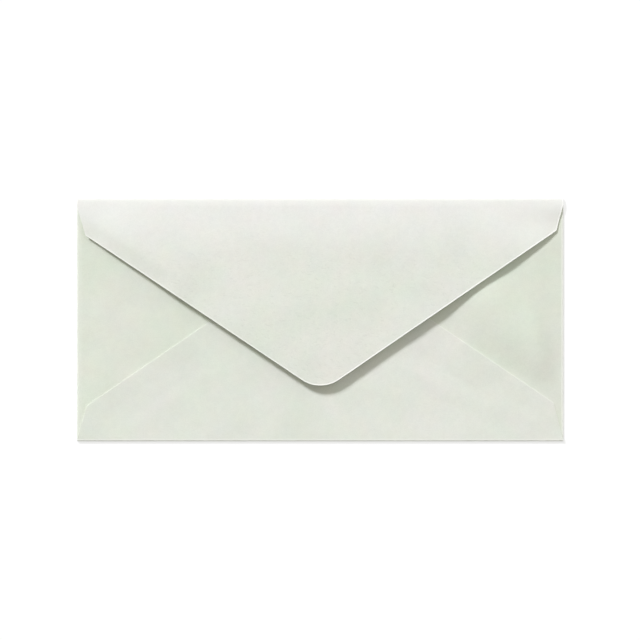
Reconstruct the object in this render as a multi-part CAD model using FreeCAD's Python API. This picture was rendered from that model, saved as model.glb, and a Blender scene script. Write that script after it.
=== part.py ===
import FreeCAD, Part
import math
import os

# A pocket envelope folded from one sheet of pearl paper, lying on its front with the flap side up.
# Millimetres, +Z up. The origin is under the middle of the front panel, on the surface it lies on.
# +Y points at the top fold, +X is to the right as seen from above.

# Folded size and paper
envelope_length = 220.0
envelope_height = 110.0
paper_thickness = 0.16
pocket_gap = 0.7
corner_radius = 0.3

# Closing flap, folded over from the top and standing open a little
flap_point_depth = 87.8
flap_point_shift = 0.14
flap_tip_radius = 15.0
flap_end_inset = 0.1
flap_left_straight = 4.0
flap_right_straight = 2.8
flap_straight_radius = 8.0
flap_left_shoulder_inset = 4.05
flap_left_shoulder_depth = 17.0
flap_right_shoulder_inset = 3.25
flap_right_shoulder_depth = 14.75
flap_shoulder_radius = 1.2
flap_fold_room = 0.22
flap_start_angle = 9.5
flap_rest_angle = 1.2
flap_easing_radius = 180.0

# Bottom flap, folded up and glued over the side flaps
bottom_point_rise = 88.8
bottom_point_shift = 0.3
bottom_tip_radius = 13.5
bottom_end_inset = 0.1
bottom_left_shoulder_inset = 4.4
bottom_left_shoulder_rise = 16.0
bottom_right_shoulder_inset = 4.5
bottom_right_shoulder_rise = 17.5
bottom_shoulder_radius = 1.5

# Side flaps, folded in first
side_throat = 1.1
side_heel = 1.1
side_upper_angle = 24.0
side_shoulder_reach = 10.0
side_tip_radius = 12.0
side_shoulder_radius = 1.5
corner_relief = 0.12

# Seams between the bottom flap and the side flaps
seam_overlap = 12.0
glue_width = 8.0
glue_length = 60.0
glue_setback = 1.5
glue_thickness = 0.04
glue_end_radius = 1.0

# Heights of the layers, from the surface up
side_flap_base = paper_thickness + pocket_gap
side_flap_top = side_flap_base + paper_thickness
bottom_flap_base = side_flap_top + glue_thickness
bottom_flap_top = bottom_flap_base + paper_thickness

# Outer radii of the folds, so that each flap comes out at its own height
side_fold_radius = side_flap_top / 2
bottom_fold_radius = bottom_flap_top / 2
top_fold_radius = (side_flap_top + flap_fold_room + paper_thickness) / 2

left_edge = -envelope_length / 2
right_edge = envelope_length / 2
bottom_edge = -envelope_height / 2
top_edge = envelope_height / 2
half_turn = 180.0
# Tall enough for a plan outline to cut through every layer
cutter_height = envelope_height


def vector(x, y, z=0.0):
    return FreeCAD.Vector(x, y, z)


# A closed wire through corners given as (x, y, radius), each rounded by a tangent arc
def rounded_outline(corners):
    arcs = []
    count = len(corners)
    for i in range(count):
        x, y, radius = corners[i]
        corner = vector(x, y)
        before = vector(*corners[i - 1][:2])
        after = vector(*corners[(i + 1) % count][:2])
        to_before = (before - corner).normalize()
        to_after = (after - corner).normalize()
        half_angle = to_before.getAngle(to_after) / 2
        setback = radius / math.tan(half_angle)
        bisector = (to_before + to_after).normalize()
        arc_middle = corner + bisector * (radius / math.sin(half_angle) - radius)
        arcs.append((corner + to_before * setback, arc_middle, corner + to_after * setback))
    edges = []
    for i in range(count):
        start, middle, end = arcs[i]
        if corners[i][2] > 0:
            edges.append(Part.Arc(start, middle, end).toShape())
        following = arcs[(i + 1) % count][0]
        edges.append(Part.LineSegment(end, following).toShape())
    return Part.Wire(edges)


# A prism that cuts every layer to a plan outline
def plan_prism(corners):
    face = Part.Face(rounded_outline(corners))
    face.translate(vector(0, 0, -cutter_height / 2))
    return face.extrude(vector(0, 0, cutter_height))


# A sheet bent along one direction. Its centre line starts at start, heads outward, and follows
# steps of ("run", length) and ("bend", centre radius, degrees), bends turning it up and over.
def bent_sheet(start, outward, across, steps):
    up = vector(0, 0, 1)
    half = paper_thickness / 2
    heading = 0.0
    here = start
    outer_edges = []
    inner_edges = []
    for step in steps:
        ahead = outward * math.cos(heading) + up * math.sin(heading)
        inward = up * math.cos(heading) - outward * math.sin(heading)
        if step[0] == "run":
            there = here + ahead * step[1]
            outer = Part.LineSegment(here - inward * half, there - inward * half)
            inner = Part.LineSegment(here + inward * half, there + inward * half)
        else:
            radius = step[1]
            turn = math.radians(step[2])
            centre = here + inward * radius
            spokes = []
            for share in (0.0, 0.5, 1.0):
                angle = heading + turn * share
                spokes.append(outward * math.sin(angle) - up * math.cos(angle))
            outer = Part.Arc(*[centre + spoke * (radius + half) for spoke in spokes])
            inner = Part.Arc(*[centre + spoke * (radius - half) for spoke in spokes])
            there = centre + spokes[2] * radius
            heading += turn
        outer_edges.append(outer.toShape())
        inner_edges.append(inner.toShape())
        here = there
    first_outer = outer_edges[0].Vertexes[0].Point
    first_inner = inner_edges[0].Vertexes[0].Point
    last_outer = outer_edges[-1].Vertexes[-1].Point
    last_inner = inner_edges[-1].Vertexes[-1].Point
    start_cap = Part.LineSegment(first_inner, first_outer).toShape()
    end_cap = Part.LineSegment(last_outer, last_inner).toShape()
    edges = outer_edges + [end_cap] + inner_edges[::-1] + [start_cap]
    return Part.Face(Part.Wire(edges)).extrude(across)


# The front panel, with its sides cut back where the side flaps fold up
def front_panel():
    low = bottom_edge + bottom_fold_radius
    high = top_edge - top_fold_radius
    heel = bottom_edge + side_heel
    throat = top_edge - side_throat
    inner_left = left_edge + side_fold_radius
    inner_right = right_edge - side_fold_radius
    corners = [
        (left_edge, low, corner_radius),
        (right_edge, low, corner_radius),
        (right_edge, heel, 0),
        (inner_right, heel, 0),
        (inner_right, throat, 0),
        (right_edge, throat, 0),
        (right_edge, high, corner_radius),
        (left_edge, high, corner_radius),
        (left_edge, throat, 0),
        (inner_left, throat, 0),
        (inner_left, heel, 0),
        (left_edge, heel, 0),
    ]
    return Part.Face(rounded_outline(corners)).extrude(vector(0, 0, paper_thickness))


# The closing flap: round the top fold, eased down and straight on to its rounded point. Its
# ends run straight down from the fold before they slant in to the shoulders.
def closing_flap():
    start = vector(left_edge, top_edge - top_fold_radius, paper_thickness / 2)
    steps = [
        ("bend", top_fold_radius - paper_thickness / 2, half_turn - flap_start_angle),
        ("bend", flap_easing_radius, flap_start_angle - flap_rest_angle),
        ("run", flap_point_depth),
    ]
    sheet = bent_sheet(start, vector(0, 1), vector(envelope_length, 0), steps)
    left_end = left_edge + flap_end_inset
    right_end = right_edge - flap_end_inset
    outline = [
        (left_end, top_edge, 0),
        (left_end, top_edge - flap_left_straight, flap_straight_radius),
        (
            left_edge + flap_left_shoulder_inset,
            top_edge - flap_left_shoulder_depth,
            flap_shoulder_radius,
        ),
        (flap_point_shift, top_edge - flap_point_depth, flap_tip_radius),
        (
            right_edge - flap_right_shoulder_inset,
            top_edge - flap_right_shoulder_depth,
            flap_shoulder_radius,
        ),
        (right_end, top_edge - flap_right_straight, flap_straight_radius),
        (right_end, top_edge, 0),
    ]
    return sheet.common(plan_prism(outline))


def bottom_left_corner():
    x = left_edge + bottom_left_shoulder_inset
    return vector(x, bottom_edge + bottom_left_shoulder_rise)


def bottom_right_corner():
    x = right_edge - bottom_right_shoulder_inset
    return vector(x, bottom_edge + bottom_right_shoulder_rise)


def bottom_point():
    return vector(bottom_point_shift, bottom_edge + bottom_point_rise)


# The bottom flap: round the bottom fold and flat over the side flaps
def bottom_flap():
    start = vector(left_edge, bottom_edge + bottom_fold_radius, paper_thickness / 2)
    steps = [
        ("bend", bottom_fold_radius - paper_thickness / 2, half_turn),
        ("run", bottom_point_rise),
    ]
    sheet = bent_sheet(start, vector(0, -1), vector(envelope_length, 0), steps)
    left_corner = bottom_left_corner()
    right_corner = bottom_right_corner()
    point = bottom_point()
    outline = [
        (left_edge + bottom_end_inset, bottom_edge, 0),
        (right_edge - bottom_end_inset, bottom_edge, 0),
        (right_corner.x, right_corner.y, bottom_shoulder_radius),
        (point.x, point.y, bottom_tip_radius),
        (left_corner.x, left_corner.y, bottom_shoulder_radius),
    ]
    return sheet.common(plan_prism(outline))


# The seam line of one side moved inward by setback: a point on it and its rise per millimetre
def seam_line(side, setback):
    corner = bottom_left_corner() if side < 0 else bottom_right_corner()
    point = bottom_point()
    slope = (point.y - corner.y) / (point.x - corner.x)
    drop = setback * math.hypot(1.0, slope)
    return vector(corner.x, corner.y - drop), slope


def height_on(line, x):
    point, slope = line
    return point.y + slope * (x - point.x)


# One side flap, side -1 for the left and 1 for the right
def side_flap(side):
    edge = right_edge if side > 0 else left_edge
    heel = bottom_edge + side_heel + corner_relief
    throat = top_edge - side_throat - corner_relief
    start = vector(edge - side * side_fold_radius, bottom_edge, paper_thickness / 2)
    steps = [
        ("bend", side_fold_radius - paper_thickness / 2, half_turn),
        ("run", envelope_length / 2),
    ]
    sheet = bent_sheet(start, vector(side, 0), vector(0, envelope_height), steps)
    lower = seam_line(side, seam_overlap)
    shoulder_x = edge - side * side_shoulder_reach
    fall = math.tan(math.radians(side_upper_angle))
    upper_slope = side * fall
    # Where the upper edge meets the lower edge
    upper_at_zero = throat - upper_slope * edge
    lower_at_zero = height_on(lower, 0.0)
    tip_x = (lower_at_zero - upper_at_zero) / (upper_slope - lower[1])
    outline = [
        (edge, heel, 0),
        (shoulder_x, height_on(lower, shoulder_x), side_shoulder_radius),
        (tip_x, height_on(lower, tip_x), side_tip_radius),
        (edge, throat, 0),
    ]
    return sheet.common(plan_prism(outline))


# One glued strip, which joins the bottom flap to a side flap along their seam
def glued_seam(side):
    edge = right_edge if side > 0 else left_edge
    outer = seam_line(side, glue_setback)
    inner = seam_line(side, glue_setback + glue_width)
    start_x = edge - side * side_shoulder_reach
    end_x = start_x - side * glue_length
    corners = [
        (start_x, height_on(outer, start_x), glue_end_radius),
        (start_x, height_on(inner, start_x), glue_end_radius),
        (end_x, height_on(inner, end_x), glue_end_radius),
        (end_x, height_on(outer, end_x), glue_end_radius),
    ]
    strip = Part.Face(rounded_outline(corners)).extrude(vector(0, 0, glue_thickness))
    strip.translate(vector(0, 0, side_flap_top))
    return strip


def envelope():
    pieces = [closing_flap(), bottom_flap()]
    for side in (-1, 1):
        pieces.append(side_flap(side))
        pieces.append(glued_seam(side))
    return front_panel().fuse(pieces).removeSplitter()


shape = envelope()
solids = shape.Solids
box = shape.BoundBox
print("solids", len(solids), "valid", shape.isValid(), "volume", round(shape.Volume, 2))
print("box", box.XMin, box.XMax, box.YMin, box.YMax, box.ZMin, box.ZMax)

os.makedirs("parts", exist_ok=True)
shape.exportStep("parts/envelope.step")
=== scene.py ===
import math

import bpy
import numpy as np
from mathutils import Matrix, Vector, noise
from mathutils.geometry import delaunay_2d_cdt


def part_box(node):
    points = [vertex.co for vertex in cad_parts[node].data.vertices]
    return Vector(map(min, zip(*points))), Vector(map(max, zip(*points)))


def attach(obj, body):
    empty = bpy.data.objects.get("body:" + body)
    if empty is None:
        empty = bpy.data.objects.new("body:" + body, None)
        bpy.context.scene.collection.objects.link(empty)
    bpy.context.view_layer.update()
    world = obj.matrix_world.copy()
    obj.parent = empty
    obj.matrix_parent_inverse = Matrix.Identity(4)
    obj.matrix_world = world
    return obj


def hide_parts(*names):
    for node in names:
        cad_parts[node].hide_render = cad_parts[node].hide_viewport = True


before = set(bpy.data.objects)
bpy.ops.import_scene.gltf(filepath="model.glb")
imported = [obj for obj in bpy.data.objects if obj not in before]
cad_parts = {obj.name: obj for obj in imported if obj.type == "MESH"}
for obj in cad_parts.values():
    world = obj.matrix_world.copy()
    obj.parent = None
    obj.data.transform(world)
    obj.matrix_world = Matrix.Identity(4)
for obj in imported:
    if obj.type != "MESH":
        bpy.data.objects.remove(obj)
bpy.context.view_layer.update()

# A pocket envelope in pearl paper: its flat blank is cut, folded along four lines, then
# given its waves, its thickness and its finish. Sizes here are millimetres, and mm turns
# them into Blender's metres.
mm = 0.001
boxLow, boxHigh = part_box("envelope")

sheet = {
    "length": (boxHigh[0] - boxLow[0]) / mm,
    "height": (boxHigh[1] - boxLow[1]) / mm,
    "thickness": 0.16,
    "pocketGap": 0.7,
    "gumThickness": 0.04,  # in the seams, between the side flaps and the bottom flap
    "foldRoom": 0.22,  # between the side flaps and the closing flap at its fold
    "startAngle": 9.5,  # the closing flap's slope where it leaves the fold, in degrees
    "restAngle": 1.2,  # its slope further down, once it has eased
    "easingRadius": 180.0,
    "endInset": 0.1,  # the long folds end this far in from the envelope's side
    "cornerCut": 0.05,  # the front panel's corners slant in by this much
    "sideEnd": 0.78,  # from the long edges in to the narrow cut where each side fold begins
    "relief": 0.06,  # how wide that cut is
}

closingFlap = {
    "depth": 87.8,  # to where its two edges would meet
    "shift": 0.14,  # and how far right of the middle that is
    "tipRadius": 15.0,
    "shoulderRadius": 1.2,
    "leftInset": 4.05,  # each shoulder: how far in from the side, and how far from the fold
    "leftDepth": 17.0,
    "rightInset": 3.25,
    "rightDepth": 14.75,
    "leftStraight": 4.0,  # its ends run straight from the fold this far before they slant in
    "rightStraight": 2.8,
    "straightRadius": 8.0,
}

bottomFlap = {
    "depth": 88.8,  # these sizes mean what they mean for the closing flap
    "shift": 0.3,
    "tipRadius": 13.5,
    "shoulderRadius": 1.5,
    "leftInset": 4.4,
    "leftDepth": 16.0,
    "rightInset": 4.5,
    "rightDepth": 17.5,
    "leftStraight": 1.1,  # far enough to cover the open corner under it
    "rightStraight": 1.1,
    "straightRadius": 2.0,
}

sideFlap = {
    "overlap": 12.0,  # tucked under the bottom flap's edge
    "upperAngle": 24.0,  # of its upper edge, in degrees
    "shoulderReach": 10.0,  # from its fold to its lower shoulder
    "shoulderRadius": 1.5,
    "tipRadius": 12.0,
}

blankMesh = {
    "pitch": 1.8,  # between points in the open paper
    "rowHeight": math.sqrt(3) / 2,  # of the open paper's even triangles, as a share of the pitch
    "foldRows": 12,  # steps round each fold
    "guardRow": 0.6,  # one more row this far outside each fold
    "rowOvershoot": 0.3,  # they run out this far past a fold's ends, to meet the cut edge
    "arcStep": 6.0,  # degrees between points on a rounded corner
    "rails": (0.2, 0.45, 0.8),  # lines of points just inside the cut edge
    "clearance": 0.6,  # share of the pitch kept free beside an edge
    "mergeDistance": 0.004,  # points nearer to each other than this become one
    "bow": 0.07,  # how far a cut edge bends inwards between its corners
}

# How white the cut edges show, where the closing flap's right edge is 1: partly the paper's white
# core, partly a painted highlight that is strongest where an edge faces the key lamp. A fold's pair
# says how strongly its arc is lightened with painted light, and how far that reaches.
edgeMarks = {
    "closingLeft": 0.8,  # the closing flap's left edge
    "fade": 30.0,  # which rises to 1 over this much, left of the middle
    "leftEnd": 0.1,  # the flap's left end, above its shoulder
    "glued": (0.0, 0.12),  # the bottom flap's left and right edges
    "closing": (0.45, 3.0),
    "bottom": (0.9, 0.6),
    "left": (0.3, 1.5),
    "right": (0.95, 0.6),
    "shoulders": (0.15, 0.32),  # painted sheen on the closing flap's left and right shoulders
    "shoulderFrom": 65.0,  # how far out from the middle that starts
    "shoulderTo": 100.0,
}

halfLength = sheet["length"] / 2
halfHeight = sheet["height"] / 2
halfTurn = 180.0
sideTop = 2 * sheet["thickness"] + sheet["pocketGap"]
bodyTop = sideTop + sheet["gumThickness"] + sheet["thickness"]
closingHeight = sideTop + sheet["foldRoom"] + sheet["thickness"]


# A fold: its flap's number, the way out to it, how far out its edge lies, its height, its
# turn in degrees, and the wide bend that eases the flap down after it
def makeFold(number, outward, edge, height, turn=halfTurn, easingRadius=1.0, easingTurn=0.0):
    radius = (height - sheet["thickness"]) / 2
    fold = {
        "number": number,
        "outward": outward,
        "edge": edge,
        "start": edge - height / 2,
        "radius": radius,
        "turn": math.radians(turn),
        "easingRadius": easingRadius,
        "easingTurn": math.radians(easingTurn),
    }
    fold["arc"] = radius * fold["turn"]
    fold["easingArc"] = easingRadius * fold["easingTurn"]
    return fold


closingTurn = halfTurn - sheet["startAngle"]
closingEase = sheet["startAngle"] - sheet["restAngle"]
folds = {
    "closing": makeFold(
        1, (0, 1), halfHeight, closingHeight, closingTurn, sheet["easingRadius"], closingEase
    ),
    "bottom": makeFold(2, (0, -1), halfHeight, bodyTop),
    "left": makeFold(3, (-1, 0), halfLength, sideTop),
    "right": makeFold(4, (1, 0), halfLength, sideTop),
}


# Where a point of the folded envelope lies on the flat blank, from how far along its fold
# it is and how far in from the folded edge
def flatPoint(fold, along, inset):
    turned = fold["turn"] + fold["easingTurn"]
    landed = fold["edge"] - fold["start"] - fold["radius"] * math.sin(fold["turn"])
    landed -= fold["easingRadius"] * (math.sin(turned) - math.sin(fold["turn"]))
    reach = fold["arc"] + fold["easingArc"] - (inset - landed) / math.cos(turned)
    out = fold["start"] + reach
    x, y = fold["outward"]
    return (out * x, along) if x else (along, out * y)


# The bottom flap's edge on one side, moved in by setback: its height at x, and its slope
def seamHeight(side, x, setback):
    name = "left" if side < 0 else "right"
    cornerX = side * (halfLength - bottomFlap[name + "Inset"])
    cornerY = bottomFlap[name + "Depth"] - halfHeight
    slope = (bottomFlap["depth"] - halfHeight - cornerY) / (bottomFlap["shift"] - cornerX)
    return cornerY + slope * (x - cornerX) - setback * math.hypot(1.0, slope), slope


# Corners of a pointed flap on the blank, from its left end to its right end: x, y, corner
# radius, and whether a flap's cut edge follows
def pointedFlap(fold, flap):
    ends = halfLength - sheet["endInset"]
    y = fold["start"] * fold["outward"][1]
    left = flatPoint(fold, flap["leftInset"] - halfLength, flap["leftDepth"])
    right = flatPoint(fold, halfLength - flap["rightInset"], flap["rightDepth"])
    tip = flatPoint(fold, flap["shift"], flap["depth"])
    first = flatPoint(fold, -ends, flap["leftStraight"])
    last = flatPoint(fold, ends, flap["rightStraight"])
    return [
        (-ends, y, 0, True),
        (*first, flap["straightRadius"], True),
        (*left, flap["shoulderRadius"], True),
        (*tip, flap["tipRadius"], True),
        (*right, flap["shoulderRadius"], True),
        (*last, flap["straightRadius"], True),
        (ends, y, 0, False),
    ]


# Corners of a side flap on the blank, from its lower end to its upper end
def sideFlapCorners(side):
    fold = folds["left" if side < 0 else "right"]
    throat = halfHeight - sheet["sideEnd"] - sheet["relief"]
    shoulderInset = sideFlap["shoulderReach"]
    shoulderY = seamHeight(side, side * (halfLength - shoulderInset), sideFlap["overlap"])[0]
    middleY, lowerSlope = seamHeight(side, 0.0, sideFlap["overlap"])
    upperSlope = side * math.tan(math.radians(sideFlap["upperAngle"]))
    tipX = (middleY - throat + upperSlope * side * halfLength) / (upperSlope - lowerSlope)
    tipY = middleY + lowerSlope * tipX
    foldX = side * fold["start"]
    return [
        (foldX, -throat, 0, True),
        (*flatPoint(fold, shoulderY, shoulderInset), sideFlap["shoulderRadius"], True),
        (*flatPoint(fold, tipY, halfLength - side * tipX), sideFlap["tipRadius"], True),
        (foldX, throat, 0, False),
    ]


# The same corners walked the other way, with the mark for what follows each set anew
def walkedBack(corners):
    last = len(corners) - 1
    return [(x, y, radius, i < last) for i, (x, y, radius, _) in enumerate(corners[::-1])]


# The blank's outline, anticlockwise from the bottom flap
def blankCorners():
    sideX = folds["right"]["start"]
    lowY = -folds["bottom"]["start"]
    highY = folds["closing"]["start"]
    throat = halfHeight - sheet["sideEnd"]
    heel = -throat
    cut = sheet["cornerCut"]
    corners = pointedFlap(folds["bottom"], bottomFlap)
    corners += [(halfLength, lowY + cut, 0, False), (halfLength, heel, 0, False)]
    corners += [(sideX, heel, 0, False)] + sideFlapCorners(1) + [(sideX, throat, 0, False)]
    corners += [(halfLength, throat, 0, False), (halfLength, highY - cut, 0, False)]
    corners += walkedBack(pointedFlap(folds["closing"], closingFlap))
    corners += [(-halfLength, highY - cut, 0, False), (-halfLength, throat, 0, False)]
    corners += [(-sideX, throat, 0, False)] + walkedBack(sideFlapCorners(-1))
    corners += [(-sideX, heel, 0, False), (-halfLength, heel, 0, False)]
    corners += [(-halfLength, lowY + cut, 0, False)]
    return corners


# Points round the outline with their inward normals, and whether each is on a flap's edge
def traceOutline(corners):
    count = len(corners)
    pitch = blankMesh["pitch"]
    arcs = []
    for i, (x, y, radius, _) in enumerate(corners):
        here = Vector((x, y))
        back = (Vector(corners[i - 1][:2]) - here).normalized()
        ahead = (Vector(corners[(i + 1) % count][:2]) - here).normalized()
        half = back.angle(ahead) / 2
        setback = radius / math.tan(half)
        centre = here + (back + ahead).normalized() * (radius / math.sin(half))
        arcs.append((here + back * setback, here + ahead * setback, centre))
    trace = []
    for i, (_, _, radius, railed) in enumerate(corners):
        first, last, centre = arcs[i]
        if radius:
            spokeA = first - centre
            spokeB = last - centre
            turn = -spokeA.angle_signed(spokeB)
            steps = max(2, round(abs(math.degrees(turn)) / blankMesh["arcStep"]))
            bend = 1 if turn > 0 else -1
            for k in range(steps):
                angle = turn * k / steps
                c, s = math.cos(angle), math.sin(angle)
                spoke = Vector((spokeA.x * c - spokeA.y * s, spokeA.x * s + spokeA.y * c))
                trace.append((centre + spoke, spoke.normalized() * -bend, railed))
        run = arcs[(i + 1) % count][0] - last
        inward = Vector((-run.y, run.x)).normalized()
        steps = max(1, round(run.length / pitch))
        bow = blankMesh["bow"] if railed else 0
        for k in range(steps):
            share = k / steps
            sharpEnd = k == 0 and not radius
            # A shallow parabola that is bow deep halfway along the edge
            point = last + run * share + inward * (4 * bow * share * (1 - share))
            trace.append((point, inward, railed and not sharpEnd))
    return trace


# Whether each point lies inside a closed loop, by counting the edges to its right
def insidePolygon(points, loop):
    inside = np.zeros(len(points), bool)
    x, y = points[:, 0], points[:, 1]
    for (ax, ay), (bx, by) in zip(loop, np.roll(loop, -1, axis=0)):
        if ay == by:
            continue
        crosses = (ay > y) != (by > y)
        inside ^= crosses & (x < (bx - ax) * (y - ay) / (by - ay) + ax)
    return inside


# How far each point is from the nearest of some edges
def distanceTo(points, starts, ends):
    nearest = np.full(len(points), np.inf)
    for a, b in zip(starts, ends):
        run = b - a
        share = np.clip((points - a) @ run / (run @ run), 0, 1)
        gap = np.linalg.norm(points - a - share[:, None] * run, axis=1)
        nearest = np.minimum(nearest, gap)
    return nearest


# Rows of points across each fold, so that it bends in small even steps
def foldRows(coords, edges):
    for fold in folds.values():
        upright = fold["outward"][0] != 0
        reach = halfLength - sheet["endInset"]
        if upright:
            reach = halfHeight - sheet["sideEnd"] - sheet["relief"]
        steps = round(2 * reach / blankMesh["pitch"])
        count = blankMesh["foldRows"]
        rows = [fold["arc"] * row / count for row in range(count + 1)]
        for row in [-blankMesh["guardRow"]] + rows + [fold["arc"] + blankMesh["guardRow"]]:
            out = fold["start"] + row
            ends = reach + (blankMesh["rowOvershoot"] if row > 0 else 0)
            for k in range(steps + 1):
                along = -reach + 2 * reach * k / steps
                if k in (0, steps):
                    along = math.copysign(ends, along)
                x, y = fold["outward"]
                if k:
                    edges.append((len(coords) - 1, len(coords)))
                coords.append((out * x, along) if upright else (along, out * y))


# Whether each point lies where foldRows has put its own
def inFoldRows(points):
    inside = np.zeros(len(points), bool)
    margin = blankMesh["guardRow"] + blankMesh["pitch"] * blankMesh["clearance"]
    for fold in folds.values():
        x, y = fold["outward"]
        out = points @ np.array([x, y], float) - fold["start"]
        near = (out > -margin) & (out < fold["arc"] + margin)
        if x:
            near &= np.abs(points[:, 1]) < halfHeight - sheet["sideEnd"]
        inside |= near
    return inside


# Points of the open paper, in even triangles that keep clear of the edges and the folds
def openPaper(loop, after):
    pitch = blankMesh["pitch"]
    xs = np.arange(loop[:, 0].min(), loop[:, 0].max(), pitch)
    ys = np.arange(loop[:, 1].min(), loop[:, 1].max(), pitch * blankMesh["rowHeight"])
    grid = np.array([(x + pitch / 2 * (j % 2), y) for j, y in enumerate(ys) for x in xs])
    grid = grid[insidePolygon(grid, loop) & ~inFoldRows(grid)]
    room = blankMesh["rails"][-1] + pitch * blankMesh["clearance"]
    return grid[distanceTo(grid, loop, after) > room]


# The blank cut flat: one sheet of triangles whose faces point down, to the outside
def cutBlank():
    trace = traceOutline(blankCorners())
    loop = np.array([tuple(p) for p, _, _ in trace])
    after = np.roll(loop, -1, axis=0)
    coords = [tuple(p) for p in loop]
    outline = list(range(len(coords)))
    edges = []
    for offset in blankMesh["rails"]:
        previous = False
        for point, inward, railed in trace:
            if railed:
                if previous:
                    edges.append((len(coords) - 1, len(coords)))
                coords.append(tuple(point + inward * offset))
            previous = railed
    foldRows(coords, edges)
    coords += [tuple(p) for p in openPaper(loop, after)]
    corners, _, triangles, *_ = delaunay_2d_cdt(
        [Vector(p) for p in coords], edges, [outline], 1, blankMesh["mergeDistance"], False
    )
    flat = np.array([tuple(p) for p in corners])
    triangles = np.array(triangles)
    triangles = triangles[insidePolygon(flat[triangles].mean(axis=1), loop)]
    used, triangles = np.unique(triangles, return_inverse=True)
    flat = flat[used]
    height = np.full(len(flat), sheet["thickness"] / 2)
    mesh = bpy.data.meshes.new("blank")
    faces = triangles.reshape(-1, 3)[:, ::-1].tolist()
    mesh.from_pydata(np.column_stack([flat, height]) * mm, [], faces)
    railed = np.array([r for _, _, r in trace])
    flapEdge = distanceTo(flat, loop[railed], after[railed])
    markBlank(mesh, flat, flapEdge)
    print("blank cut:", len(mesh.vertices), "points,", len(mesh.polygons), "triangles")
    return mesh


# Painted sheen on the closing flap, rising towards its two shoulders
def shoulderSheen(x):
    first, last = edgeMarks["shoulderFrom"], edgeMarks["shoulderTo"]
    reach = np.clip((np.abs(x) - first) / (last - first), 0, 1)
    left, right = edgeMarks["shoulders"]
    return reach * np.where(x < 0, left, right)


# Marks each point with its flap's number, how near it is to a cut edge and to a fold, and how much
# painted highlight and painted light those get, with the painted sheen on the closing flap's
# shoulders
def markBlank(mesh, flat, flapEdge):
    number = np.zeros(len(flat), np.int32)
    nearFold = np.zeros(len(flat), np.float32)
    slack = blankMesh["mergeDistance"] * 2
    for name, fold in folds.items():
        x, y = fold["outward"]
        out = flat @ np.array([x, y], float) - fold["start"]
        along = np.abs(flat[:, 1] if x else flat[:, 0])
        end = halfHeight - sheet["sideEnd"] - sheet["relief"] / 2 if x else halfLength
        number[(out > slack) & (along < end)] = fold["number"]
        away = np.abs(out - fold["arc"] / 2) - fold["arc"] / 2
        strength, reach = edgeMarks[name]
        fade = np.clip(1 - away / reach, 0, 1) * (along < end)
        nearFold = np.maximum(nearFold, fade * strength)
    inner, outer, _ = blankMesh["rails"]
    nearCut = np.clip((outer - flapEdge) / (outer - inner), 0, 1)
    # Painted highlight: the cut edges whiten most on the closing flap's right edge and tip, which
    # face the key lamp, and less on its left edge, its left end and the bottom flap's seams
    rightward = np.clip(1 + flat[:, 0] / edgeMarks["fade"], 0, 1)
    closing = edgeMarks["closingLeft"] + (1 - edgeMarks["closingLeft"]) * rightward
    closing[flat[:, 0] < closingFlap["leftInset"] - halfLength] = edgeMarks["leftEnd"]
    glued = np.where(flat[:, 0] < 0, *edgeMarks["glued"])
    isClosing = number == folds["closing"]["number"]
    nearFold = np.maximum(nearFold, shoulderSheen(flat[:, 0]) * isClosing)
    nearCut *= np.where(isClosing, closing, glued)
    isSide = np.isin(number, [folds["left"]["number"], folds["right"]["number"]])
    marks = {"cutEdge": nearCut, "foldLine": nearFold, "sideFlap": isSide, "closingFlap": isClosing}
    mesh.attributes.new("flapNumber", "INT", "POINT").data.foreach_set("value", number)
    for name, values in marks.items():
        mark = mesh.attributes.new(name, "FLOAT", "POINT")
        mark.data.foreach_set("value", values.astype(np.float32))


# Adds a node, sets its properties, and sets or links its inputs by name or by place. In
# these trees a Map Range node's places 1 to 4 are where it reads from and where it goes
# to, and a colour Mix node's places 0, 6 and 7 are its share and its two colours.
def addNode(tree, kind, inputs=None, **settings):
    node = tree.nodes.new(kind)
    for name, value in settings.items():
        setattr(node, name, value)
    for key, value in (inputs or {}).items():
        if isinstance(value, bpy.types.NodeSocket):
            tree.links.new(value, node.inputs[key])
        else:
            node.inputs[key].default_value = value
    return node


# A node group with named inputs and outputs, and the sockets that its inputs come in at
def newGroup(name, inputs, outputs):
    tree = bpy.data.node_groups.new(name, "GeometryNodeTree")
    for title, kind in inputs:
        tree.interface.new_socket(name=title, in_out="INPUT", socket_type=kind)
    for title, kind in outputs:
        tree.interface.new_socket(name=title, in_out="OUTPUT", socket_type=kind)
    return tree, addNode(tree, "NodeGroupInput").outputs


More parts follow.
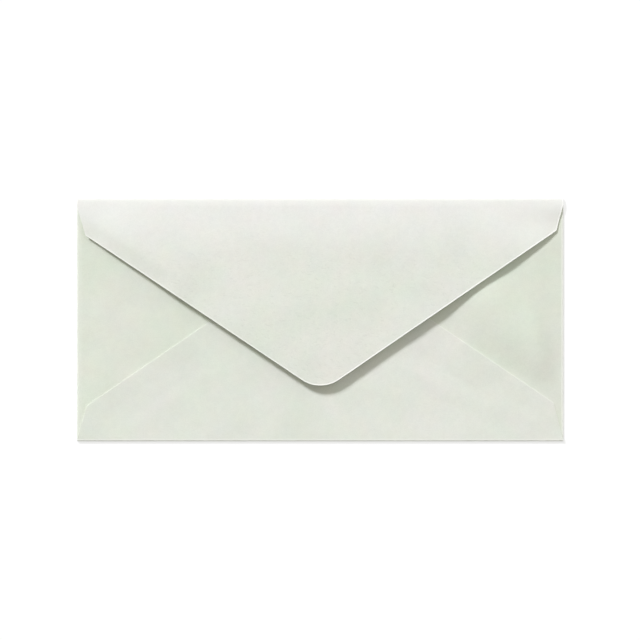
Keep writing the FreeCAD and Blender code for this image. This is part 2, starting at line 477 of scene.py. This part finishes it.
# One bend of the sheet: how far out and up it carries a point that lies Distance past its
# start, what distance is left over after it, and which way the sheet then heads
def bendGroup():
    number = "NodeSocketFloat"
    asked = [(name, number) for name in ("Distance", "Heading", "Radius", "Turn")]
    found = [(name, number) for name in ("Out", "Up", "Left Over", "New Heading")]
    tree, given = newGroup("bendSheet", asked, found)
    sums = "ShaderNodeMath"
    distance, heading, radius, turn = (given[name] for name, _ in asked)
    whole = addNode(tree, sums, {0: distance, 1: radius}, operation="DIVIDE")
    capped = addNode(tree, sums, {0: whole.outputs[0], 1: turn}, operation="MINIMUM")
    angle = addNode(tree, sums, {0: capped.outputs[0], 1: 0.0}, operation="MAXIMUM")
    reached = addNode(tree, sums, {0: heading, 1: angle.outputs[0]}, operation="ADD")
    sineEnd = addNode(tree, sums, {0: reached.outputs[0]}, operation="SINE")
    sineStart = addNode(tree, sums, {0: heading}, operation="SINE")
    cosineEnd = addNode(tree, sums, {0: reached.outputs[0]}, operation="COSINE")
    cosineStart = addNode(tree, sums, {0: heading}, operation="COSINE")
    forward = addNode(
        tree, sums, {0: sineEnd.outputs[0], 1: sineStart.outputs[0]}, operation="SUBTRACT"
    )
    rise = addNode(
        tree, sums, {0: cosineStart.outputs[0], 1: cosineEnd.outputs[0]}, operation="SUBTRACT"
    )
    out = addNode(tree, sums, {0: radius, 1: forward.outputs[0]}, operation="MULTIPLY")
    up = addNode(tree, sums, {0: radius, 1: rise.outputs[0]}, operation="MULTIPLY")
    arc = addNode(tree, sums, {0: radius, 1: turn}, operation="MULTIPLY")
    past = addNode(tree, sums, {0: distance, 1: arc.outputs[0]}, operation="SUBTRACT")
    left = addNode(tree, sums, {0: past.outputs[0], 1: 0.0}, operation="MAXIMUM")
    after = addNode(tree, sums, {0: heading, 1: turn}, operation="ADD")
    results = {"Out": out, "Up": up, "Left Over": left, "New Heading": after}
    addNode(tree, "NodeGroupOutput", {name: node.outputs[0] for name, node in results.items()})
    return tree


foldSizes = ["Start", "Radius", "Turn", "Easing Radius", "Easing Turn"]


# Folds one flap over: a tight bend, an easing bend, and straight on
def foldGroup(bend):
    asked = [("Geometry", "NodeSocketGeometry"), ("Flap Number", "NodeSocketInt")]
    asked += [("Outward", "NodeSocketVector")] + [(name, "NodeSocketFloat") for name in foldSizes]
    tree, given = newGroup("foldFlap", asked, [("Geometry", "NodeSocketGeometry")])
    sums = "ShaderNodeMath"
    place = addNode(tree, "GeometryNodeInputPosition")
    along = addNode(
        tree,
        "ShaderNodeVectorMath",
        {0: place.outputs[0], 1: given["Outward"]},
        operation="DOT_PRODUCT",
    )
    past = addNode(
        tree, sums, {0: along.outputs["Value"], 1: given["Start"]}, operation="SUBTRACT"
    )
    distance = addNode(tree, sums, {0: past.outputs[0], 1: 0.0}, operation="MAXIMUM")
    tight = addNode(tree, "GeometryNodeGroup", node_tree=bend)
    tree.links.new(distance.outputs[0], tight.inputs["Distance"])
    easing = addNode(tree, "GeometryNodeGroup", node_tree=bend)
    tree.links.new(tight.outputs["Left Over"], easing.inputs["Distance"])
    tree.links.new(tight.outputs["New Heading"], easing.inputs["Heading"])
    for size in ("Radius", "Turn"):
        tree.links.new(given[size], tight.inputs[size])
        tree.links.new(given["Easing " + size], easing.inputs[size])
    rest = easing.outputs["Left Over"]
    heading = easing.outputs["New Heading"]
    cosine = addNode(tree, sums, {0: heading}, operation="COSINE")
    sine = addNode(tree, sums, {0: heading}, operation="SINE")
    bentOut = addNode(
        tree, sums, {0: tight.outputs["Out"], 1: easing.outputs["Out"]}, operation="ADD"
    )
    bentUp = addNode(
        tree, sums, {0: tight.outputs["Up"], 1: easing.outputs["Up"]}, operation="ADD"
    )
    out = addNode(
        tree, sums, {0: rest, 1: cosine.outputs[0], 2: bentOut.outputs[0]}, operation="MULTIPLY_ADD"
    )
    up = addNode(
        tree, sums, {0: rest, 1: sine.outputs[0], 2: bentUp.outputs[0]}, operation="MULTIPLY_ADD"
    )
    back = addNode(
        tree, sums, {0: out.outputs[0], 1: distance.outputs[0]}, operation="SUBTRACT"
    )
    sideways = addNode(
        tree,
        "ShaderNodeVectorMath",
        {0: given["Outward"], "Scale": back.outputs[0]},
        operation="SCALE",
    )
    upward = addNode(tree, "ShaderNodeCombineXYZ", {"Z": up.outputs[0]})
    moved = addNode(
        tree,
        "ShaderNodeVectorMath",
        {0: sideways.outputs[0], 1: upward.outputs[0]},
        operation="ADD",
    )
    marked = addNode(
        tree, "GeometryNodeInputNamedAttribute", {"Name": "flapNumber"}, data_type="INT"
    )
    # A Compare node's whole numbers go in at its third and fourth inputs
    chosen = addNode(
        tree,
        "FunctionNodeCompare",
        {2: marked.outputs[0], 3: given["Flap Number"]},
        data_type="INT",
        operation="EQUAL",
    )
    folded = addNode(
        tree,
        "GeometryNodeSetPosition",
        {
            "Geometry": given["Geometry"],
            "Selection": chosen.outputs[0],
            "Offset": moved.outputs[0],
        },
    )
    addNode(tree, "NodeGroupOutput", {"Geometry": folded.outputs[0]})
    return tree


# The whole folding: side flaps first, then the bottom flap, then the closing flap
def foldingTree(paper):
    asked = [("Geometry", "NodeSocketGeometry")]
    for name in folds:
        asked += [(name.title() + " " + size, "NodeSocketFloat") for size in foldSizes]
    tree, given = newGroup("foldedEnvelope", asked, [("Geometry", "NodeSocketGeometry")])
    foldFlap = foldGroup(bendGroup())
    geometry = given["Geometry"]
    for name in ("left", "right", "bottom", "closing"):
        fold = addNode(tree, "GeometryNodeGroup", node_tree=foldFlap)
        fold.inputs["Flap Number"].default_value = folds[name]["number"]
        fold.inputs["Outward"].default_value = (*folds[name]["outward"], 0)
        tree.links.new(geometry, fold.inputs["Geometry"])
        for size in foldSizes:
            tree.links.new(given[name.title() + " " + size], fold.inputs[size])
        geometry = fold.outputs["Geometry"]
    realized = addNode(tree, "GeometryNodeRealizeInstances", {"Geometry": geometry})
    finished = addNode(
        tree, "GeometryNodeSetMaterial", {"Geometry": realized.outputs[0], "Material": paper}
    )
    addNode(tree, "NodeGroupOutput", {"Geometry": finished.outputs[0]})
    return tree


# Turns an object's modifiers into a plain mesh and removes them
def applyModifiers(piece):
    bpy.context.view_layer.update()
    graph = bpy.context.evaluated_depsgraph_get()
    mesh = bpy.data.meshes.new_from_object(piece.evaluated_get(graph))
    piece.modifiers.clear()
    piece.data = mesh
    return mesh


# The blank, folded by the node tree, with the folds' sizes as the tree's inputs
def foldSheet(paper):
    piece = bpy.data.objects.new("foldedSheet", cutBlank())
    bpy.context.scene.collection.objects.link(piece)
    tree = foldingTree(paper)
    modifier = piece.modifiers.new("folding", "NODES")
    modifier.node_group = tree
    values = {}
    for name, fold in folds.items():
        title = name.title() + " "
        values[title + "Start"] = fold["start"] * mm
        values[title + "Radius"] = fold["radius"] * mm
        values[title + "Turn"] = fold["turn"]
        values[title + "Easing Radius"] = fold["easingRadius"] * mm
        values[title + "Easing Turn"] = fold["easingTurn"]
    for item in tree.interface.items_tree:
        if item.in_out == "INPUT" and item.name in values:
            modifier[item.identifier] = values[item.name]
    applyModifiers(piece)
    print("sheet folded, height", round(max(v.co.z for v in piece.data.vertices) / mm, 2), "mm")
    return piece


waves = {
    "pillowHeight": 0.2,  # the empty pocket stands a little puffed
    "pillowWidth": 14.0,  # and rises over this much, from its folds inwards
    "foldClear": 0.8,  # but nothing moves this near them
    "topWidth": 16.0,  # the pocket closes up again towards the top fold
    "bodyHeight": 0.16,
    "bodyLength": 42.0,
    "bodySeed": 3.0,
    "closingHeight": 0.3,
    "closingLength": 55.0,
    "closingSeed": 11.0,
    "closingFade": 14.0,
    "cockleHeight": 0.12,  # fine cockles, in both flaps that show whole
    "cockleLength": 14.0,
    "cockleSeed": 7.0,
    "seamFall": (0.08, 0.25),  # the paper sinks this far inside the left and right seams
    "seamWidth": 12.0,
    "embossHeight": 0.12,  # the side flaps' edges show through the bottom flap
    "embossWidth": 3.0,
    "topClear": 0.02,  # kept free under the top of the CAD box
    "closingBurr": 0.09,  # the knife leaves the closing flap's edge turned up
    "bottomBurr": -0.08,  # and the glued edge is pressed down
}

# Soft ridges and hollows that handling left in the paper: both ends, half width at each end,
# height, and how far past its ends each one fades out
bodyCreases = [
    {"ends": ((78.0, 4.8), (106.0, -20.9)), "widths": (22, 13), "height": 1.6, "fade": 30.0},
    {"ends": ((-100.0, -47.5), (-52.0, -14.5)), "widths": (11, 11), "height": -0.2, "fade": 14.0},
    {"ends": ((44.0, -25.0), (96.0, -48.0)), "widths": (7, 7), "height": 0.16, "fade": 12.0},
]
closingCreases = [
    {"ends": ((-84.0, 32.0), (-70.0, 23.0)), "widths": (24, 24), "height": 0.12, "fade": 30.0},
    {"ends": ((-101.0, 34.5), (-76.0, 17.3)), "widths": (9, 9), "height": -0.82, "fade": 14.0},
    {"ends": ((-92.0, 28.0), (-72.0, 14.0)), "widths": (22, 26), "height": 0.35, "fade": 18.0},
    {"ends": ((8.0, -33.0), (36.0, -12.0)), "widths": (30, 30), "height": -0.42, "fade": 12.0},
    {"ends": ((112.0, 60.0), (112.0, 20.0)), "widths": (50, 50), "height": -1.0, "fade": 10.0},
    {"ends": ((112.0, 45.0), (112.0, 30.0)), "widths": (16, 16), "height": -0.8, "fade": 8.0},
    {"ends": ((-30.0, -38.0), (30.0, -38.0)), "widths": (30, 30), "height": -0.25, "fade": 20.0},
]


# Nought below low, one above high, and a smooth rise between them
def smoothStep(low, high, value):
    share = min(max((value - low) / (high - low), 0.0), 1.0)
    return share * share * (3 - 2 * share)


def softNoise(x, y, length, seed):
    return noise.noise(Vector((x / length, y / length, seed)))


# How far a list of creases lifts the paper at one place
def creaseLift(x, y, creases):
    lift = 0.0
    for crease in creases:
        (ax, ay), (bx, by) = crease["ends"]
        length = math.hypot(bx - ax, by - ay)
        ux, uy = (bx - ax) / length, (by - ay) / length
        along = (x - ax) * ux + (y - ay) * uy
        first, last = crease["widths"]
        width = first + (last - first) * min(max(along / length, 0.0), 1.0)
        across = min(abs((y - ay) * ux - (x - ax) * uy) / width, 1.0)
        fade = crease["fade"]
        here = smoothStep(-fade, 0, along) * (1 - smoothStep(length, length + fade, along))
        lift += crease["height"] * here * (1 + math.cos(math.pi * across)) / 2
    return lift


def cockleLift(x, y):
    return waves["cockleHeight"] * softNoise(x, y, waves["cockleLength"], waves["cockleSeed"])


# How far the side flaps and the bottom flap stand off their flat places
def bodyLift(x, y, number):
    inset = min(halfLength - abs(x), y + halfHeight)
    room = smoothStep(waves["foldClear"], waves["pillowWidth"], inset)
    room *= smoothStep(waves["foldClear"], waves["topWidth"], halfHeight - y)
    lift = waves["pillowHeight"] + creaseLift(x, y, bodyCreases)
    lift += waves["bodyHeight"] * softNoise(x, y, waves["bodyLength"], waves["bodySeed"])
    side = -1 if x < 0 else 1
    seam, slope = seamHeight(side, x, 0)
    inside = (seam - y) / math.hypot(1.0, slope)
    left, right = waves["seamFall"]
    fall = right if x > 0 else left
    lift += cockleLift(x, y)
    lift -= fall * smoothStep(0, waves["seamWidth"], inside)
    if number == folds["bottom"]["number"]:
        edge, slope = seamHeight(side, x, sideFlap["overlap"])
        beyond = (edge - y) / math.hypot(1.0, slope)
        lift -= waves["embossHeight"] * smoothStep(0, waves["embossWidth"], beyond)
    return lift * room


# How far the closing flap stands off its even slope
def closingLift(x, y):
    room = smoothStep(sheet["foldRoom"], waves["closingFade"], halfHeight - y)
    wave = waves["closingHeight"] * softNoise(x, y, waves["closingLength"], waves["closingSeed"])
    return (wave + cockleLift(x, y) + creaseLift(x, y, closingCreases)) * room


# Moves the folded sheet's points up or down
def waveSheet(piece):
    mesh = piece.data
    ceiling = boxHigh[2] / mm - sheet["thickness"] / 2 - waves["topClear"]
    numbers = mesh.attributes["flapNumber"].data
    nearCut = mesh.attributes["cutEdge"].data
    for vertex in mesh.vertices:
        number = numbers[vertex.index].value
        burr = nearCut[vertex.index].value ** 2
        x, y, z = vertex.co / mm
        if number == folds["closing"]["number"]:
            z = min(z + closingLift(x, y) + waves["closingBurr"] * burr, ceiling)
        elif number and z > sheet["pocketGap"]:
            z += bodyLift(x, y, number)
            if number == folds["bottom"]["number"]:
                z += waves["bottomBurr"] * burr
        vertex.co.z = z * mm
    print("waves set")


# The cut edges' chamfer, its steps, and the angles past which an edge gets it or looks sharp
edgeFinish = {"bevel": 0.04, "segments": 2, "bevelAngle": 60.0, "smoothAngle": 40.0}


# Gives the sheet its thickness and its cut edges, and keeps it in the CAD box
def thickenSheet(piece):
    solid = piece.modifiers.new("thickness", "SOLIDIFY")
    solid.thickness = sheet["thickness"] * mm
    solid.offset = 0
    solid.use_quality_normals = True
    solid.material_offset = 1
    solid.material_offset_rim = 2
    bevel = piece.modifiers.new("cutEdges", "BEVEL")
    bevel.width = edgeFinish["bevel"] * mm
    bevel.segments = edgeFinish["segments"]
    bevel.limit_method = "ANGLE"
    bevel.angle_limit = math.radians(edgeFinish["bevelAngle"])
    mesh = applyModifiers(piece)
    for vertex in mesh.vertices:
        for axis in range(3):
            vertex.co[axis] = min(max(vertex.co[axis], boxLow[axis]), boxHigh[axis])
    mesh.shade_smooth()
    mesh.set_sharp_from_angle(angle=math.radians(edgeFinish["smoothAngle"]))
    print("thickness set:", len(mesh.vertices), "points")


# An sRGB hex value as the linear colour that a shader takes
def toLinear(hexColour):
    channels = [int(hexColour[i : i + 2], 16) / 255 for i in (1, 3, 5)]
    linear = [c / 12.92 if c <= 0.04045 else ((c + 0.055) / 1.055) ** 2.4 for c in channels]
    return (*linear, 1)


def newMaterial(name):
    material = bpy.data.materials.new(name)
    material.use_nodes = True
    material.node_tree.nodes.clear()
    return material, material.node_tree


pearlFinish = {
    "green": "#DBE0D3",
    "warm": "#DFE0D7",
    "sheenTint": "#DEDED8",  # painted sheen: the closing flap beside its fold, tinted paler and pinker
    "sheenFrom": 22.0,  # how far up the envelope that starts
    "sheenTo": 50.0,
    "side": "#FBFDF9",  # painted shade: the side flaps laid a shade darker and greener than the rest
    "core": "#FBFBF6",  # the cut edges: the paper's white core and a painted highlight
    "cutShade": 0.8,  # how much of it shows where an edge is whitest, as painted highlight
    "fold": "#F8F9F2",  # painted light on the folds: their arcs lightened, and a highlight band below the top fold
    "foldShade": 0.8,
    "cloud": (38.0, 3.0),  # each noise: its length in millimetres, and its levels of detail
    "blotch": (22.0, 2.0),
    "patch": (9.0, 2.0),
    "fibre": (2.4, 4.0),
    "grain": (0.6, 2.0),
    "fleck": (1.2, 1.0),
    "cloudSpan": (0.35, 0.65),  # the stretch of a noise's values that is used
    "blotchSpan": (0.3, 0.7),
    "grainSpan": (0.7, 1.3),  # of fibre and grain added up
    "fleckSpan": (0.62, 0.7),
    "satinSpan": (0.3, 0.7),
    "blotchShade": 0.02,
    "patchShade": (0.06, 0.045, 0.055),  # how far each patch of the coat strays in each colour
    "grainShade": 0.028,
    "fleckShade": 0.035,
    "fleckStretch": (0.6, 1.2, 1.0),  # the flecks lie along the envelope
    "fleckDepth": 3.5,  # how deep they lie, where the grain's relief is 1
    "roughness": (0.58, 0.66),
    "ior": 1.45,
    "bumpHeight": 0.012,
    "bumpStrength": 0.35,
}


# Pearl paper, the outside of the sheet: bleached stock under a mica coat. The coat gives it
# a satin glow with a faint clouding of green and cream, and the fibres give a fine grain.
def pearlCoatedPaper():
    finish = pearlFinish
    material, tree = newMaterial("pearlCoatedPaper")
    place = addNode(tree, "ShaderNodeTexCoord").outputs["Object"]
    stretched = addNode(
        tree, "ShaderNodeVectorMath", {0: place, 1: finish["fleckStretch"]}, operation="MULTIPLY"
    )
    noises = {}
    for name in ("cloud", "blotch", "patch", "fibre", "grain", "fleck"):
        length, detail = finish[name]
        spot = stretched.outputs[0] if name == "fleck" else place
        inputs = {"Vector": spot, "Scale": 1 / (length * mm), "Detail": detail}
        noises[name] = addNode(tree, "ShaderNodeTexNoise", inputs).outputs
    low, high = finish["cloudSpan"]
    clouded = addNode(
        tree, "ShaderNodeMapRange", {"Value": noises["cloud"]["Fac"], 1: low, 2: high}
    )
    tint = addNode(
        tree,
        "ShaderNodeMix",
        {0: clouded.outputs[0], 6: toLinear(finish["green"]), 7: toLinear(finish["warm"])},
        data_type="RGBA",
    )
    # Painted sheen: the closing flap turns paler and pinker towards its fold, and its flecks stay
    # out of that band
    closingMark = addNode(tree, "ShaderNodeAttribute", attribute_name="closingFlap")
    upward = addNode(tree, "ShaderNodeSeparateXYZ", {0: place})
    sheenShare = addNode(
        tree,
        "ShaderNodeMapRange",
        {
            "Value": upward.outputs["Y"],
            1: finish["sheenFrom"] * mm,
            2: finish["sheenTo"] * mm,
            4: closingMark.outputs["Fac"],
        },
    )
    sheenTinted = addNode(
        tree,
        "ShaderNodeMix",
        {0: sheenShare.outputs[0], 6: tint.outputs[2], 7: toLinear(finish["sheenTint"])},
        data_type="RGBA",
    )
    patchTone = addNode(
        tree,
        "ShaderNodeVectorMath",
        {
            0: noises["patch"]["Color"],
            1: finish["patchShade"],
            2: [1 - shade / 2 for shade in finish["patchShade"]],
        },
        operation="MULTIPLY_ADD",
    )
    patched = addNode(
        tree,
        "ShaderNodeVectorMath",
        {0: sheenTinted.outputs[2], 1: patchTone.outputs[0]},
        operation="MULTIPLY",
    )
    speckle = addNode(
        tree,
        "ShaderNodeMath",
        {0: noises["fibre"]["Fac"], 1: noises["grain"]["Fac"]},
        operation="ADD",
    )
    low, high = finish["grainSpan"]
    shade = addNode(
        tree,
        "ShaderNodeMapRange",
        {
            "Value": speckle.outputs[0],
            1: low,
            2: high,
            3: 1 - finish["grainShade"],
            4: 1 + finish["grainShade"],
        },
    )
    low, high = finish["fleckSpan"]
    flecked = addNode(
        tree, "ShaderNodeMapRange", {"Value": noises["fleck"]["Fac"], 1: low, 2: high}
    )
    pastSheen = addNode(
        tree,
        "ShaderNodeMath",
        {0: closingMark.outputs["Fac"], 1: sheenShare.outputs[0]},
        operation="SUBTRACT",
    )
    fleckShare = addNode(
        tree,
        "ShaderNodeMath",
        {0: flecked.outputs[0], 1: pastSheen.outputs[0]},
        operation="MULTIPLY",
    )
    fleckTone = addNode(
        tree,
        "ShaderNodeMapRange",
        {"Value": fleckShare.outputs[0], 3: 1.0, 4: 1 - finish["fleckShade"]},
    )
    low, high = finish["blotchSpan"]
    blotchTone = addNode(
        tree,
        "ShaderNodeMapRange",
        {
            "Value": noises["blotch"]["Fac"],
            1: low,
            2: high,
            3: 1 - finish["blotchShade"],
            4: 1 + finish["blotchShade"],
        },
    )
    uneven = addNode(
        tree,
        "ShaderNodeMath",
        {0: shade.outputs[0], 1: blotchTone.outputs[0]},
        operation="MULTIPLY",
    )
    dotted = addNode(
        tree,
        "ShaderNodeMath",
        {0: uneven.outputs[0], 1: fleckTone.outputs[0]},
        operation="MULTIPLY",
    )
    # Painted shade: the side flaps are made a shade darker than the rest of the sheet
    sideMark = addNode(tree, "ShaderNodeAttribute", attribute_name="sideFlap")
    toned = addNode(
        tree,
        "ShaderNodeMix",
        {0: sideMark.outputs["Fac"], 6: patched.outputs[0], 7: toLinear(finish["side"])},
        data_type="RGBA",
        blend_type="MULTIPLY",
    )
    grained = addNode(
        tree,
        "ShaderNodeVectorMath",
        {0: toned.outputs[2], "Scale": dotted.outputs[0]},
        operation="SCALE",
    )
    # Painted light: the folds' arcs, a band below the top fold and the closing flap's shoulders are
    # mixed towards a paler colour
    foldMark = addNode(tree, "ShaderNodeAttribute", attribute_name="foldLine")
    foldShare = addNode(
        tree,
        "ShaderNodeMath",
        {0: foldMark.outputs["Fac"], 1: finish["foldShade"]},
        operation="MULTIPLY",
    )
    creased = addNode(
        tree,
        "ShaderNodeMix",
        {0: foldShare.outputs[0], 6: grained.outputs[0], 7: toLinear(finish["fold"])},
        data_type="RGBA",
    )
    # Painted highlight: a thin band along the cut edges is mixed towards white, strongest where an
    # edge faces the key lamp; partly the paper's white core
    cutMark = addNode(tree, "ShaderNodeAttribute", attribute_name="cutEdge")
    cutShare = addNode(
        tree,
        "ShaderNodeMath",
        {0: cutMark.outputs["Fac"], 1: finish["cutShade"]},
        operation="MULTIPLY",
    )
    edged = addNode(
        tree,
        "ShaderNodeMix",
        {0: cutShare.outputs[0], 6: creased.outputs[2], 7: toLinear(finish["core"])},
        data_type="RGBA",
    )
    low, high = finish["satinSpan"]
    satin = addNode(
        tree,
        "ShaderNodeMapRange",
        {
            "Value": noises["fibre"]["Fac"],
            1: low,
            2: high,
            3: finish["roughness"][0],
            4: finish["roughness"][1],
        },
    )
    relief = addNode(
        tree,
        "ShaderNodeMath",
        {0: fleckShare.outputs[0], 1: -finish["fleckDepth"], 2: speckle.outputs[0]},
        operation="MULTIPLY_ADD",
    )
    bump = addNode(
        tree,
        "ShaderNodeBump",
        {
            "Height": relief.outputs[0],
            "Distance": finish["bumpHeight"] * mm,
            "Strength": finish["bumpStrength"],
        },
    )
    surface = addNode(
        tree,
        "ShaderNodeBsdfPrincipled",
        {
            "Base Color": edged.outputs[2],
            "Roughness": satin.outputs[0],
            "IOR": finish["ior"],
            "Normal": bump.outputs[0],
        },
    )
    addNode(tree, "ShaderNodeOutputMaterial", {"Surface": surface.outputs[0]})
    return material


innerFinish = {
    "pale": "#EDEEE6",
    "deep": "#E5E7DC",
    "fibreLength": 1.8,
    "fibreDetail": 5.0,
    "roughness": 0.8,
    "bumpHeight": 0.015,
    "bumpStrength": 0.4,
}


# Uncoated stock, the inside of the sheet: soft, matt and a shade paler than the coat, with
# the felt side's fibres standing up a little
def uncoatedInnerPaper():
    finish = innerFinish
    material, tree = newMaterial("uncoatedInnerPaper")
    place = addNode(tree, "ShaderNodeTexCoord").outputs["Object"]
    fibre = addNode(
        tree,
        "ShaderNodeTexNoise",
        {
            "Vector": place,
            "Scale": 1 / (finish["fibreLength"] * mm),
            "Detail": finish["fibreDetail"],
        },
    )
    tone = addNode(
        tree,
        "ShaderNodeMix",
        {0: fibre.outputs["Fac"], 6: toLinear(finish["deep"]), 7: toLinear(finish["pale"])},
        data_type="RGBA",
    )
    bump = addNode(
        tree,
        "ShaderNodeBump",
        {
            "Height": fibre.outputs["Fac"],
            "Distance": finish["bumpHeight"] * mm,
            "Strength": finish["bumpStrength"],
        },
    )
    surface = addNode(
        tree,
        "ShaderNodeBsdfPrincipled",
        {
            "Base Color": tone.outputs[2],
            "Roughness": finish["roughness"],
            "Normal": bump.outputs[0],
        },
    )
    addNode(tree, "ShaderNodeOutputMaterial", {"Surface": surface.outputs[0]})
    return material


coreFinish = {"pale": "#FBFBF7", "deep": "#ECEDE6", "fibreLength": 0.3, "roughness": 0.9}


# Guillotine-cut paper core: the bright, matt fibre ends of the sheet's cut edges
def cutPaperCore():
    finish = coreFinish
    material, tree = newMaterial("cutPaperCore")
    place = addNode(tree, "ShaderNodeTexCoord").outputs["Object"]
    fibre = addNode(
        tree, "ShaderNodeTexNoise", {"Vector": place, "Scale": 1 / (finish["fibreLength"] * mm)}
    )
    tone = addNode(
        tree,
        "ShaderNodeMix",
        {0: fibre.outputs["Fac"], 6: toLinear(finish["deep"]), 7: toLinear(finish["pale"])},
        data_type="RGBA",
    )
    surface = addNode(
        tree,
        "ShaderNodeBsdfPrincipled",
        {"Base Color": tone.outputs[2], "Roughness": finish["roughness"]},
    )
    addNode(tree, "ShaderNodeOutputMaterial", {"Surface": surface.outputs[0]})
    return material


studio = {
    "frameWidth": 289.7,  # millimetres of floor across the picture
    "lens": 120.0,
    "sensor": 36.0,
    "aimX": -0.11,  # where the camera stands, off the envelope's middle
    "aimY": -0.16,
    "floorSize": 6000.0,
    "floorDrop": 0.03,  # the floor lies this far under the paper
    "floorGlow": 0.62,  # how much of the floor's white is its own glow
    "glowStrength": 1.06,
    "floorColour": "#FAFAFA",
    "skyColour": "#FFFFF4",
    "skyStrength": 0.2,
}

# Each lamp: the way to it in plan, its height in degrees, its share of the light on a level
# sheet, how wide it looks in degrees, which softens its shadows, and its colour
lamps = {
    "softKey": {
        "plan": (-0.6, 0.8),
        "height": 32.0,
        "share": 0.58,
        "angle": 11.0,
        "colour": "#F7F7FF",
    },
    "wideFill": {
        "plan": (0.6, 0.8),
        "height": 35.0,
        "share": 0.13,
        "angle": 60.0,
        "colour": "#FFFFFF",
    },
    "overheadFill": {
        "plan": (0.0, 1.0),
        "height": 89.0,
        "share": 0.165,
        "angle": 30.0,
        "colour": "#FFFFF4",
    },
}


# The camera looks straight down on the envelope
def placeCamera():
    data = bpy.data.cameras.new("camera")
    data.lens = studio["lens"]
    data.sensor_width = studio["sensor"]
    distance = studio["frameWidth"] * mm * studio["lens"] / studio["sensor"]
    camera = bpy.data.objects.new("camera", data)
    camera.location = (studio["aimX"] * mm, studio["aimY"] * mm, distance)
    bpy.context.scene.collection.objects.link(camera)
    bpy.context.scene.camera = camera


def placeLamps():
    for name, lamp in lamps.items():
        height = math.radians(lamp["height"])
        data = bpy.data.lights.new(name, "SUN")
        data.energy = lamp["share"] * math.pi / math.sin(height)  # a low lamp spreads its light
        data.angle = math.radians(lamp["angle"])
        data.color = toLinear(lamp["colour"])[:3]
        plan = Vector((*lamp["plan"], 0)).normalized() * math.cos(height)
        toLamp = plan + Vector((0, 0, math.sin(height)))
        sun = bpy.data.objects.new(name, data)
        sun.rotation_mode = "QUATERNION"
        sun.rotation_quaternion = toLamp.to_track_quat("Z", "Y")
        bpy.context.scene.collection.objects.link(sun)


# An even pale sky, which the camera sees as white
def lightSky():
    world = bpy.data.worlds.new("studioSky")
    bpy.context.scene.world = world
    world.use_nodes = True
    tree = world.node_tree
    tree.nodes.clear()
    path = addNode(tree, "ShaderNodeLightPath")
    strength = addNode(
        tree,
        "ShaderNodeMapRange",
        {"Value": path.outputs["Is Camera Ray"], 3: studio["skyStrength"], 4: 1.0},
    )
    colour = addNode(
        tree,
        "ShaderNodeMix",
        {0: path.outputs["Is Camera Ray"], 6: toLinear(studio["skyColour"]), 7: (1, 1, 1, 1)},
        data_type="RGBA",
    )
    sky = addNode(
        tree,
        "ShaderNodeBackground",
        {"Color": colour.outputs[2], "Strength": strength.outputs[0]},
    )
    addNode(tree, "ShaderNodeOutputWorld", {"Surface": sky.outputs[0]})


# A white floor that glows to the camera and to mirror rays but keeps the envelope's shadow
def layFloor():
    half = studio["floorSize"] * mm / 2
    drop = -studio["floorDrop"] * mm
    mesh = bpy.data.meshes.new("floor")
    corners = [(-half, -half, drop), (half, -half, drop), (half, half, drop), (-half, half, drop)]
    mesh.from_pydata(corners, [], [(0, 1, 2, 3)])
    material, tree = newMaterial("whiteSweep")
    path = addNode(tree, "ShaderNodeLightPath").outputs
    mirrored = addNode(
        tree,
        "ShaderNodeMath",
        {0: path["Is Glossy Ray"], 1: path["Is Transmission Ray"]},
        operation="MAXIMUM",
    )
    seen = addNode(
        tree,
        "ShaderNodeMath",
        {0: mirrored.outputs[0], 1: path["Is Camera Ray"]},
        operation="MAXIMUM",
    )
    share = addNode(
        tree,
        "ShaderNodeMath",
        {0: seen.outputs[0], 1: studio["floorGlow"]},
        operation="MULTIPLY",
    )
    card = addNode(
        tree,
        "ShaderNodeBsdfDiffuse",
        {"Color": toLinear(studio["floorColour"])},
    )
    glow = addNode(tree, "ShaderNodeEmission", {"Strength": studio["glowStrength"]})
    mixed = addNode(
        tree, "ShaderNodeMixShader", {0: share.outputs[0], 1: card.outputs[0], 2: glow.outputs[0]}
    )
    addNode(tree, "ShaderNodeOutputMaterial", {"Surface": mixed.outputs[0]})
    mesh.materials.append(material)
    floor = bpy.data.objects.new("floor", mesh)
    bpy.context.scene.collection.objects.link(floor)


def main():
    placeCamera()
    placeLamps()
    lightSky()
    layFloor()
    print("studio set")
    papers = [pearlCoatedPaper(), uncoatedInnerPaper(), cutPaperCore()]
    piece = foldSheet(papers[0])
    waveSheet(piece)
    for paper in papers[1:]:
        piece.data.materials.append(paper)
    thickenSheet(piece)
    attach(piece, "root")
    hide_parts("envelope")
    bpy.context.scene.view_settings.view_transform = "Standard"


main()
